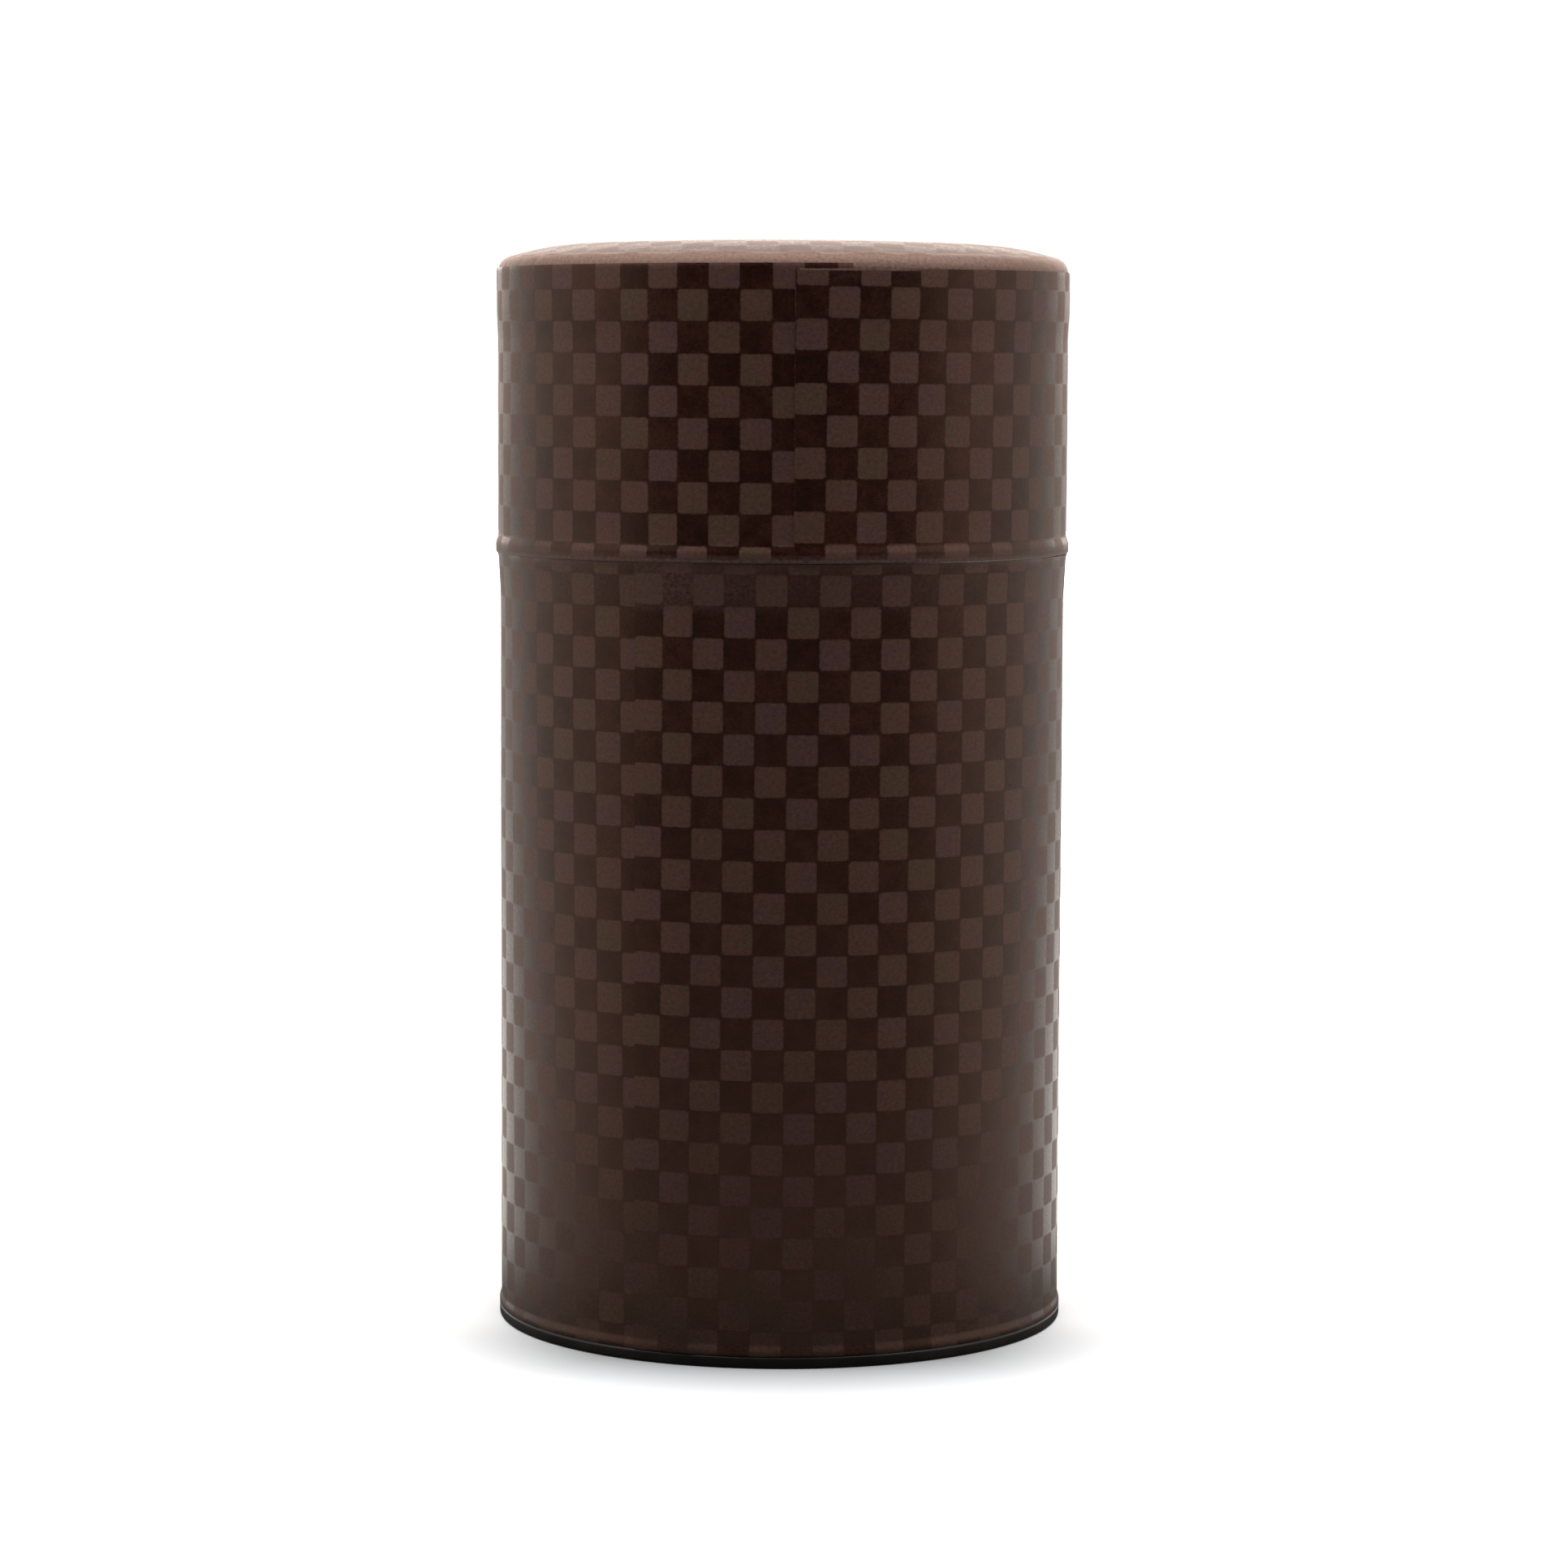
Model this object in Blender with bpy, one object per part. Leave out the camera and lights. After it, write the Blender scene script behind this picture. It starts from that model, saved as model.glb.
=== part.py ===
"""Round tea caddy: a tinplate body and lift-off lid covered in printed washi paper,
with a bare tin neck that the lid slides over and an inner lid that closes the neck.

Metres, +Z up. The origin is the centre of the base, on the surface it stands on.
"""

import math

import bmesh
import bpy

# Driving sizes. Radii are to the outside of the bare tin unless the name says otherwise.
HEIGHT = 0.15545  # base to the crown of the paper on the lid
BODY_HEIGHT = 0.11090  # base to the top edge of the body's tube, where the lid's rim rests
TUBE_R = 0.04035  # body tube
TIN = 0.00030  # tinplate of the body, the lid and the neck
PAPER = 0.00015  # washi with its lining
GLUE_GAP = 0.00010  # between a sheet and what it is pasted on
FIT_GAP = 0.00030  # between tin pieces that seat on one another
SLEEVE_GAP = 0.00020  # between the body's tube and the neck pressed into it
LID_FIT = 0.00045  # running clearance of the lid on the neck
INNER_FIT = 0.00035  # running clearance of the inner lid in the neck

# Body
SEAM_NECK_IN = 0.00005  # how far the tube is drawn in where the base plate's rim holds it
SEAM_HEIGHT = 0.00260  # height of the base plate's rolled rim
BASE_PANEL_Z = 0.00230  # underside of the recessed base panel
RIM_ROUND = 0.00035  # rounding of the rolled rim where it meets the table
BEAD_HEIGHT = 0.00160  # the rim's lowest stretch, which stands out below the paper
TOP_FLARE = 0.00030  # how far the tube's top edge leans out
TOP_FLARE_HEIGHT = 0.00650
TOP_LIP = 0.00018  # the last stretch of the flare, right at the edge
TOP_LIP_HEIGHT = 0.00060

# Neck
NECK_RIM_HEIGHT = 0.00090  # the tin is rolled inward and back on itself this far down

# Lid
HEM_HEIGHT = 0.00240  # outward hem at the lid's lower edge
HEM_BULGE = 0.00041
HEM_FLAT = 0.00090  # the straight stretch of the hem
CROWN_ARC = 0.700  # radius of the crown, on the outside of its paper
CROWN_REACH = 0.0290  # how far out from the axis the crown's arc runs
SHOULDER_ARC = 0.0380
CORNER_ARC = 0.00210
FLANGE_DEPTH = 0.00520  # the top plate's flange, which sits inside the lid's tube
FLANGE_CLEARANCE = 0.00210  # between that flange and the inner lid's rim below it
STRIP_STANDOFF = 0.00015  # the side sheet bridges from the hem to the turned-down top sheet
STRIP_TOP_LAP = 0.00500  # how far the side sheet covers the top sheet's turned-down edge
STRIP_TAPER = 0.00450
STRIP_HEAD_RISE = 0.00025  # the side sheet ends this far above the start of the corner

# Inner lid
PAN_DEPTH = 0.00620
PAN_CORNER = 0.00100
KNOB_R = 0.00620
KNOB_STEM_R = 0.00360
KNOB_STEM_HEIGHT = 0.00420
KNOB_HEIGHT = 0.00900
KNOB_EDGE_ARC = 0.00150  # rounding of the cap's edge
KNOB_FOOT_FLARE = 0.00070
RIVET_R = 0.00130
RIVET_HEAD_R = 0.00290
RIVET_HEAD_HEIGHT = 0.00080
RIVET_REACH = 0.00480  # how far the shank runs into the knob

# Facets
RING_SEGMENTS = 48
KNOB_SEGMENTS = 32
RIVET_SEGMENTS = 24
CROWN_STEPS = 3
SHOULDER_STEPS = 3
CORNER_STEPS = 4
EDGE_STEPS = 5
CAP_STEPS = 3
SMOOTH_ANGLE = math.radians(40)

# Places that several pieces share
TUBE_BORE_R = TUBE_R - TIN
NECK_R = TUBE_BORE_R - SLEEVE_GAP
NECK_BORE_R = NECK_R - TIN
NECK_MOUTH_R = NECK_BORE_R - TIN
LID_BORE_R = NECK_R + LID_FIT
LID_TUBE_R = LID_BORE_R + TIN
LID_FOOT_Z = BODY_HEIGHT + FIT_GAP
TOP_PAPER_R = LID_TUBE_R + GLUE_GAP + PAPER


def clear_scene():
    for item in list(bpy.data.objects):
        bpy.data.objects.remove(item)


def finish(name, colour, roughness, metallic):
    """A material with the piece's own colour."""
    material = bpy.data.materials.new(name)
    material.use_nodes = True
    shader = material.node_tree.nodes["Principled BSDF"]
    shader.inputs["Base Color"].default_value = (*colour, 1)
    shader.inputs["Roughness"].default_value = roughness
    shader.inputs["Metallic"].default_value = metallic
    return material


def turned(name, profile, segments, material, parent):
    """Spins a closed outline of (radius, height) points, given anticlockwise, about the Z axis."""
    shape = bmesh.new()
    points = [shape.verts.new((radius, 0, height)) for radius, height in profile]
    edges = [shape.edges.new((a, b)) for a, b in zip(points, points[1:] + points[:1])]
    bmesh.ops.spin(
        shape, geom=points + edges, cent=(0, 0, 0), axis=(0, 0, 1),
        angle=math.tau, steps=segments, use_merge=True,
    )
    bmesh.ops.remove_doubles(shape, verts=shape.verts, dist=1e-7)
    bmesh.ops.dissolve_degenerate(shape, edges=shape.edges, dist=1e-7)
    bmesh.ops.recalc_face_normals(shape, faces=shape.faces)
    mesh = bpy.data.meshes.new(name)
    shape.to_mesh(mesh)
    shape.free()
    mesh.shade_smooth()
    mesh.set_sharp_from_angle(angle=SMOOTH_ANGLE)
    mesh.materials.append(material)
    piece = bpy.data.objects.new(name, mesh)
    piece.parent = parent
    bpy.context.scene.collection.objects.link(piece)
    return piece


def group(name):
    empty = bpy.data.objects.new(name, None)
    bpy.context.scene.collection.objects.link(empty)
    return empty


def arc(centre, radius, start, end, steps):
    """Points on a circular arc. Angles are in degrees, from the +X direction towards +Z."""
    points = []
    for step in range(steps + 1):
        angle = math.radians(start + (end - start) * step / steps)
        points.append((centre[0] + radius * math.cos(angle), centre[1] + radius * math.sin(angle)))
    return points


def dome(depth):
    """The lid's top, from its vertical side in to the axis, lying depth below its paper's face.

    Three arcs that run into one another: the corner, the shoulder and the crown.
    """
    crown_turn = math.degrees(math.asin(CROWN_REACH / CROWN_ARC))
    crown_centre = (0.0, HEIGHT - CROWN_ARC)
    back = CROWN_ARC - SHOULDER_ARC
    shoulder_centre = (
        back * math.sin(math.radians(crown_turn)),
        crown_centre[1] + back * math.cos(math.radians(crown_turn)),
    )
    corner_x = TOP_PAPER_R - CORNER_ARC
    step_in = SHOULDER_ARC - CORNER_ARC
    shoulder_turn = math.degrees(math.asin((corner_x - shoulder_centre[0]) / step_in))
    corner_centre = (corner_x, shoulder_centre[1] + step_in * math.cos(math.radians(shoulder_turn)))
    corner = arc(corner_centre, CORNER_ARC - depth, 0, 90 - shoulder_turn, CORNER_STEPS)
    shoulder = arc(
        shoulder_centre, SHOULDER_ARC - depth, 90 - shoulder_turn, 90 - crown_turn, SHOULDER_STEPS
    )
    crown = arc(crown_centre, CROWN_ARC - depth, 90 - crown_turn, 90, CROWN_STEPS)
    return corner + shoulder[1:] + crown[1:]


def corner_base():
    """Height at which the lid's side turns into its corner."""
    return dome(0)[0][1]


def flange_foot():
    """Lower edge of the top plate's flange."""
    return corner_base() - FLANGE_DEPTH


def neck_top_z():
    """The neck stands as high as the inner lid's rim allows under the top plate's flange."""
    return flange_foot() - FLANGE_CLEARANCE - TIN - FIT_GAP


def pan_floor_z():
    return neck_top_z() + FIT_GAP + TIN - PAN_DEPTH


def body_tube(material, parent):
    seat_r = TUBE_R - SEAM_NECK_IN
    foot_z = TIN + FIT_GAP
    profile = [
        (seat_r - TIN, foot_z),
        (seat_r, foot_z),
        (seat_r, SEAM_HEIGHT + FIT_GAP),
        (TUBE_R, SEAM_HEIGHT + FIT_GAP + SEAM_NECK_IN),
        (TUBE_R, BODY_HEIGHT - TOP_FLARE_HEIGHT),
        (TUBE_R + TOP_FLARE, BODY_HEIGHT - TOP_LIP_HEIGHT),
        (TUBE_R + TOP_FLARE + TOP_LIP, BODY_HEIGHT),
        (TUBE_BORE_R + TOP_FLARE + TOP_LIP, BODY_HEIGHT),
        (TUBE_BORE_R + TOP_FLARE, BODY_HEIGHT - TOP_LIP_HEIGHT),
        (TUBE_BORE_R, BODY_HEIGHT - TOP_FLARE_HEIGHT),
        (TUBE_BORE_R, SEAM_HEIGHT + FIT_GAP + SEAM_NECK_IN),
        (seat_r - TIN, SEAM_HEIGHT + FIT_GAP),
    ]
    return turned("body_tube", profile, RING_SEGMENTS, material, parent)


def base_plate(material, parent):
    """Recessed disc whose edge drops to the table and rolls up round the tube's foot.

    The roll's lower stretch is a bead, nearly flush with the paper that ends above it.
    """
    seat_r = TUBE_R - SEAM_NECK_IN
    wall_r = seat_r - TIN - GLUE_GAP
    roll_bore_r = seat_r + GLUE_GAP
    roll_r = roll_bore_r + TIN
    bead_r = roll_r + GLUE_GAP + PAPER / 2
    profile = [
        (0, BASE_PANEL_Z),
        (wall_r - TIN - RIM_ROUND, BASE_PANEL_Z),
        (wall_r - TIN, BASE_PANEL_Z - RIM_ROUND),
        (wall_r - TIN, 0),
        (bead_r - RIM_ROUND, 0),
        (bead_r, RIM_ROUND),
        (bead_r, BEAD_HEIGHT - RIM_ROUND),
        (roll_r, BEAD_HEIGHT),
        (roll_r, SEAM_HEIGHT - RIM_ROUND),
        (roll_bore_r, SEAM_HEIGHT),
        (roll_bore_r, TIN),
        (wall_r, TIN),
        (wall_r, BASE_PANEL_Z + TIN - RIM_ROUND),
        (wall_r - RIM_ROUND, BASE_PANEL_Z + TIN),
        (0, BASE_PANEL_Z + TIN),
    ]
    return turned("base_plate", profile, RING_SEGMENTS, material, parent)


def body_paper(material, parent):
    """One sheet round the body, over the base's rolled rim and the flare at the top."""
    rim_r = TUBE_R - SEAM_NECK_IN + GLUE_GAP + TIN
    step_z = SEAM_HEIGHT + FIT_GAP
    line = [
        (rim_r, BEAD_HEIGHT + GLUE_GAP),
        (rim_r, SEAM_HEIGHT - RIM_ROUND),
        (TUBE_R, step_z + TIN),
        (TUBE_R, BODY_HEIGHT - TOP_FLARE_HEIGHT),
        (TUBE_R + TOP_FLARE, BODY_HEIGHT - TOP_LIP_HEIGHT),
        (TUBE_R + TOP_FLARE + TOP_LIP, BODY_HEIGHT),
    ]
    outside = [(radius + GLUE_GAP + PAPER, height) for radius, height in line]
    inside = [(radius + GLUE_GAP, height) for radius, height in reversed(line)]
    return turned("body_paper", outside + inside, RING_SEGMENTS, material, parent)


def neck_sleeve(material, parent):
    """Inner tube that lines the body and stands out of it, its top edge rolled inward."""
    foot_z = BASE_PANEL_Z + TIN + FIT_GAP
    top_z = neck_top_z()
    turn = TIN / 2
    profile = [
        (NECK_BORE_R, foot_z),
        (NECK_R, foot_z),
        (NECK_R, top_z - turn),
        (NECK_R - turn, top_z),
        (NECK_MOUTH_R + turn, top_z),
        (NECK_MOUTH_R, top_z - turn),
        (NECK_MOUTH_R, top_z - NECK_RIM_HEIGHT + turn),
        (NECK_BORE_R, top_z - NECK_RIM_HEIGHT),
    ]
    return turned("neck_sleeve", profile, RING_SEGMENTS, material, parent)


def lid_tube(material, parent):
    """Skirt with an outward hem. Its top edge stops where the top plate's corner begins."""
    hem_r = LID_TUBE_R + HEM_BULGE
    hem_low_z = LID_FOOT_Z + TIN
    profile = [
        (LID_BORE_R, LID_FOOT_Z),
        (hem_r - TIN, LID_FOOT_Z),
        (hem_r, hem_low_z),
        (hem_r, hem_low_z + HEM_FLAT),
        (LID_TUBE_R, LID_FOOT_Z + HEM_HEIGHT),
        (LID_TUBE_R, corner_base() - FIT_GAP),
        (LID_BORE_R, corner_base() - FIT_GAP),
    ]
    return turned("lid_tube", profile, RING_SEGMENTS, material, parent)


def lid_top_plate(material, parent):
    """Domed plate with a round corner, stepped in to a flange that sits inside the tube."""
    outside = dome(PAPER + GLUE_GAP)
    inside = dome(PAPER + GLUE_GAP + TIN)
    flange_r = LID_BORE_R - FIT_GAP
    flange_z = flange_foot()
    profile = (
        [(flange_r - TIN, flange_z), (flange_r, flange_z), (flange_r, outside[0][1] - TIN)]
        + outside
        + list(reversed(inside[1:]))
        + [(flange_r - TIN, inside[1][1] - TIN)]
    )
    return turned("lid_top_plate", profile, RING_SEGMENTS, material, parent)


def lid_top_paper(material, parent):
    """Disc of paper pasted over the dome, its edge turned down over the side."""
    outside = dome(0)
    inside = dome(PAPER)
    foot_z = corner_base() - STRIP_TOP_LAP
    profile = (
        [(inside[0][0], foot_z), (outside[0][0], foot_z)] + outside + list(reversed(inside))
    )
    return turned("lid_top_paper", profile, RING_SEGMENTS, material, parent)


def lid_side_paper(material, parent):
    """Strip round the lid, over the hem at its foot and the turned-down top sheet at its head."""
    hem_r = LID_TUBE_R + HEM_BULGE
    head_z = corner_base() + STRIP_HEAD_RISE
    lap_z = corner_base() - STRIP_TOP_LAP
    lap_r = TOP_PAPER_R + GLUE_GAP
    line = [
        (hem_r + GLUE_GAP, LID_FOOT_Z),
        (hem_r + GLUE_GAP, LID_FOOT_Z + TIN + HEM_FLAT),
        (LID_TUBE_R + STRIP_STANDOFF, LID_FOOT_Z + HEM_HEIGHT),
        (LID_TUBE_R + STRIP_STANDOFF, lap_z - STRIP_TAPER),
        (lap_r, lap_z - FIT_GAP),
        (lap_r, head_z),
    ]
    outside = [(radius + PAPER, height) for radius, height in line]
    inside = list(reversed(line))
    return turned("lid_side_paper", outside + inside, RING_SEGMENTS, material, parent)


def inner_lid(material, parent):
    """Pressed pan that drops into the neck and hangs from its rim, holed for the knob's rivet."""
    wall_r = NECK_MOUTH_R - INNER_FIT
    rim_z = neck_top_z() + FIT_GAP
    floor_z = pan_floor_z()
    hole_r = RIVET_R + GLUE_GAP
    profile = [
        (hole_r, floor_z - TIN),
        (wall_r - PAN_CORNER, floor_z - TIN),
        (wall_r, floor_z - TIN + PAN_CORNER),
        (wall_r, rim_z),
        (NECK_R, rim_z),
        (NECK_R, rim_z + TIN),
        (wall_r - TIN, rim_z + TIN),
        (wall_r - TIN, floor_z + PAN_CORNER),
        (wall_r - TIN - PAN_CORNER, floor_z),
        (hole_r, floor_z),
    ]
    return turned("inner_lid", profile, RING_SEGMENTS, material, parent)


def inner_lid_knob(material, parent):
    """Mushroom knob, bored from below for its rivet. Its crown runs on from the cap's edge."""
    foot_z = pan_floor_z() + FIT_GAP
    waist_z = foot_z + KNOB_STEM_HEIGHT
    bore_r = RIVET_R + GLUE_GAP
    bore_z = pan_floor_z() + RIVET_REACH + FIT_GAP
    edge = (KNOB_R - KNOB_EDGE_ARC, waist_z + KNOB_EDGE_ARC)
    rise = foot_z + KNOB_HEIGHT - edge[1]
    crown_arc = (edge[0] ** 2 + rise**2 - KNOB_EDGE_ARC**2) / (2 * (rise - KNOB_EDGE_ARC))
    crown_z = foot_z + KNOB_HEIGHT - crown_arc
    meet = math.degrees(math.atan2(edge[1] - crown_z, edge[0]))
    profile = (
        [(bore_r, foot_z), (KNOB_STEM_R + KNOB_FOOT_FLARE, foot_z)]
        + [(KNOB_STEM_R, foot_z + KNOB_FOOT_FLARE), (KNOB_STEM_R, waist_z)]
        + arc(edge, KNOB_EDGE_ARC, -90, meet, EDGE_STEPS)
        + arc((0, crown_z), crown_arc, meet, 90, CAP_STEPS)[1:]
        + [(0, bore_z), (bore_r, bore_z)]
    )
    return turned("inner_lid_knob", profile, KNOB_SEGMENTS, material, parent)


def knob_rivet(material, parent):
    """Rivet with a low round head under the pan and its shank up the knob's bore."""
    head_z = pan_floor_z() - TIN - FIT_GAP
    tip_z = pan_floor_z() + RIVET_REACH
    head_arc = (RIVET_HEAD_R**2 + RIVET_HEAD_HEIGHT**2) / (2 * RIVET_HEAD_HEIGHT)
    reach = math.degrees(math.asin(RIVET_HEAD_R / head_arc))
    head_centre = (0, head_z - RIVET_HEAD_HEIGHT + head_arc)
    profile = arc(head_centre, head_arc, -90, reach - 90, CAP_STEPS) + [
        (RIVET_R, head_z),
        (RIVET_R, tip_z),
        (0, tip_z),
    ]
    return turned("knob_rivet", profile, RIVET_SEGMENTS, material, parent)


def build():
    clear_scene()
    tin = finish("tinplate", (0.62, 0.60, 0.56), 0.28, 1.0)
    washi = finish("printed_washi", (0.10, 0.07, 0.06), 0.55, 0.0)
    lacquer = finish("black_lacquered_tin", (0.012, 0.012, 0.011), 0.35, 0.0)
    knob_metal = finish("plated_knob", (0.66, 0.64, 0.60), 0.22, 1.0)

    body = group("body_group")
    body_tube(tin, body)
    base_plate(lacquer, body)
    neck_sleeve(tin, body)
    body_paper(washi, body)

    lid = group("lid_group")
    lid_tube(tin, lid)
    lid_top_plate(tin, lid)
    lid_top_paper(washi, lid)
    lid_side_paper(washi, lid)

    inner = group("inner_lid_group")
    inner_lid(tin, inner)
    inner_lid_knob(knob_metal, inner)
    knob_rivet(tin, inner)


build()
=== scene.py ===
"""Looks of a round tea caddy: printed washi over tinplate, a lift-off lid and an inner lid."""
import math
import random

import bpy
from mathutils import Matrix, Vector, noise


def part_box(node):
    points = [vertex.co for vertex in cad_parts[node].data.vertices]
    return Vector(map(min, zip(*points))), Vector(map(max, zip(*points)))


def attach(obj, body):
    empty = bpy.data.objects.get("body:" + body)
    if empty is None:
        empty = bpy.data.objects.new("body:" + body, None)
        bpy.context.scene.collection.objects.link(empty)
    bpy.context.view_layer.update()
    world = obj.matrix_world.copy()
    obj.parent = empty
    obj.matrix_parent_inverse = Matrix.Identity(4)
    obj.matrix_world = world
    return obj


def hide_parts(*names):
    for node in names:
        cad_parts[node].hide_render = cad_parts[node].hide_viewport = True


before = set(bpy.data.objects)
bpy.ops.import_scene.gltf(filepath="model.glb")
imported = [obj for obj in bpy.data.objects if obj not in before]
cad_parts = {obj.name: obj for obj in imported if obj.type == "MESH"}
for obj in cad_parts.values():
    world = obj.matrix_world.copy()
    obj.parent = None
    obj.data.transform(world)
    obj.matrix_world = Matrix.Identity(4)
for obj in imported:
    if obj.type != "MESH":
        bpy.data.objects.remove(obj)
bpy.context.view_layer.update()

MM = 0.001
FULL_TURN = 360.0

# The print: a chequer of matt squares with round corners and glossy squares between them.
SQUARE = 4.345  # mm, one square of the print
PRINT_MAP = "print"  # UV map that counts squares along and up the sheet
WEAR_AND_PAINTED_LIGHT = "rubbed"  # vertex attribute: 0 fresh ink, 1 rubbed dull, 2 worn off, which on the lid's shoulder is partly a painted highlight; under 0 painted shade and painted floor reflection at the body's foot
SHEET_MM = 0.15  # thickness of the washi with its lining

# Side sheets, each rolled once round its tin. Degrees run to the right from the front.
BODY_SHEET = {
    "seam": -29.6, "squares_round": 58.5, "start": 0.045, "row_zero": 0.93,
    "drift": (-0.406, -1.403, 0.352), "lean": (0.0063, -0.0082, 77.1),
}
LID_SHEET = {
    "seam": 2.3, "squares_round": 58.69, "start": 0.012, "row_zero": 113.76,
    "drift": (-0.52, -1.778, -1.01), "lean": (0.0119, 0.0006, 132.8),
}
COLUMN_DEG = 1.0  # width of one column of a rolled sheet
ROW_MM = 2.6  # greatest height of one row
LAP_DEG = 11.0  # the sheet's end runs on under its start
LAP_HOLD_DEG = 0.4  # the start stays raised this far past the end
LAP_FADE_DEG = 3.0  # and then comes down to the tin over this far
LAP_RAISE = 1.12  # height of the lap, in thicknesses of the sheet
LAP_PRESSED = 0.45  # share of that height which is pressed flat over a hem
HEM_OUT = 0.3  # mm, a hem that stands out so far presses the lap fully
WAVE_MM = 0.05  # greatest wave of the hand-rolled wall

# Contours: (height above the sheet's foot, how far the face stands out of its straight wall), mm.
BODY_OUT = 0.48  # mm, from the straight wall to the box of the body's paper
BODY_CONTOUR = [
    (0.0, 0.25), (0.12, 0.28), (0.3, 0.285), (0.55, 0.28), (0.8, 0.24), (1.2, 0.10),
    (1.45, 0.02), (1.7, 0.0), (102.2, 0.0), (102.7, 0.0), (103.2, 0.02), (108.1, 0.27),
    (108.6, 0.31), (109.0, 0.41), (109.2, 0.47),
]
LID_OUT = 0.36  # mm, from the straight wall to the box of the lid's side paper
LID_HEAD = 0.25  # mm, the lid's side turns into its round corner so far under that box's top
LID_CONTOUR = [
    (0.0, 0.28), (0.15, 0.34), (0.35, 0.36), (0.6, 0.36), (1.1, 0.35), (1.45, 0.29),
    (2.0, 0.08), (2.3, 0.02), (2.6, 0.0), (30.0, 0.0), (30.6, 0.01), (34.0, 0.19),
    (34.6, 0.20), (39.2, 0.20), (39.6, 0.20), (39.8, 0.19), (40.0, 0.18),
]

# The lid's top: arcs of its outline, and how the disc of paper lies on it, all in mm.
CROWN_ARC, CROWN_REACH, SHOULDER_ARC, CORNER_ARC = 700.0, 29.0, 38.0, 2.1
TOP_COLUMNS = 720
TOP_TURN = math.radians(2.5)  # the print lies this far askew across the lid
TOP_ROW_ZERO = -39.3  # a line of the print near the front edge
TURNED_DOWN_ROWS = 4  # rows of the edge that is turned down, straight
BEND_RUN = 4.2  # length of sheet that goes round the shoulder and the corner
SWELL_MM = 0.02  # greatest swelling of the pasted disc
WRINKLE_MM, WRINKLE_AT, WRINKLE_WIDE = 0.13, 1.5, 0.3  # raised wrinkle along the shoulder


def linear(code):
    """An sRGB hex colour as linear red, green, blue and alpha."""
    channels = [int(code[i : i + 2], 16) / 255 for i in (1, 3, 5)]
    return [c / 12.92 if c <= 0.04045 else ((c + 0.055) / 1.055) ** 2.4 for c in channels] + [1.0]


def node(tree, kind, inputs=None, **settings):
    """One node with its settings; each input is a plain value or another node's output."""
    made = tree.nodes.new(kind)
    for name, value in settings.items():
        setattr(made, name, value)
    for key, value in (inputs or {}).items():
        if isinstance(value, bpy.types.NodeSocket):
            tree.links.new(value, made.inputs[key])
        else:
            made.inputs[key].default_value = value
    return made


def ramp(tree, factor, stops):
    """Colours that run from stop to stop as factor goes from 0 to 1."""
    made = node(tree, "ShaderNodeValToRGB", {"Fac": factor})
    elements = made.color_ramp.elements
    while len(elements) < len(stops):
        elements.new(0.5)
    for element, (place, colour) in zip(elements, stops):
        element.position = place
        element.color = colour
    return made.outputs["Color"]


def span(tree, value, low, high, to_low, to_high):
    """A value taken from low..high to to_low..to_high, and held at both ends."""
    inputs = {"Value": value, "From Min": low, "From Max": high, "To Min": to_low, "To Max": to_high}
    return node(tree, "ShaderNodeMapRange", inputs).outputs["Result"]


def maths(tree, operation, *terms, clamp=False):
    """A math node on up to three terms."""
    made = node(tree, "ShaderNodeMath", dict(enumerate(terms)), operation=operation, use_clamp=clamp)
    return made.outputs[0]


def vectors(tree, operation, *terms, output="Vector"):
    """A vector math node on up to three terms."""
    made = node(tree, "ShaderNodeVectorMath", dict(enumerate(terms)), operation=operation)
    return made.outputs[output]


def scaled(tree, vector, factor):
    """A vector or a colour times a factor."""
    inputs = {0: vector, "Scale": factor}
    return node(tree, "ShaderNodeVectorMath", inputs, operation="SCALE").outputs[0]


def blend(tree, factor, first, second):
    """The first colour at factor 0 and the second at 1."""
    inputs = {0: factor, 6: first, 7: second}
    return node(tree, "ShaderNodeMix", inputs, data_type="RGBA").outputs[2]


def mottle(tree, vector, scale, detail, roughness=0.5, distortion=0.0, output="Fac", flat=False):
    """Noise, in the two dimensions of a sheet if flat and in space if not."""
    inputs = {
        "Vector": vector, "Scale": scale, "Detail": detail,
        "Roughness": roughness, "Distortion": distortion,
    }
    made = node(tree, "ShaderNodeTexNoise", inputs, noise_dimensions="2D" if flat else "3D")
    return made.outputs[output]


def emboss(tree, shader, height, strength, depth):
    """Fine relief: bumps of a height pattern, so deep in mm."""
    inputs = {"Height": height, "Strength": strength, "Distance": depth * MM}
    normal = node(tree, "ShaderNodeBump", inputs).outputs["Normal"]
    tree.links.new(normal, shader.inputs["Normal"])


def blank(name):
    """A new material with its node tree and its principled shader."""
    material = bpy.data.materials.new(name)
    material.use_nodes = True
    return material, material.node_tree, material.node_tree.nodes["Principled BSDF"]


# ---------------------------------------------------------------- materials


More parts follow.
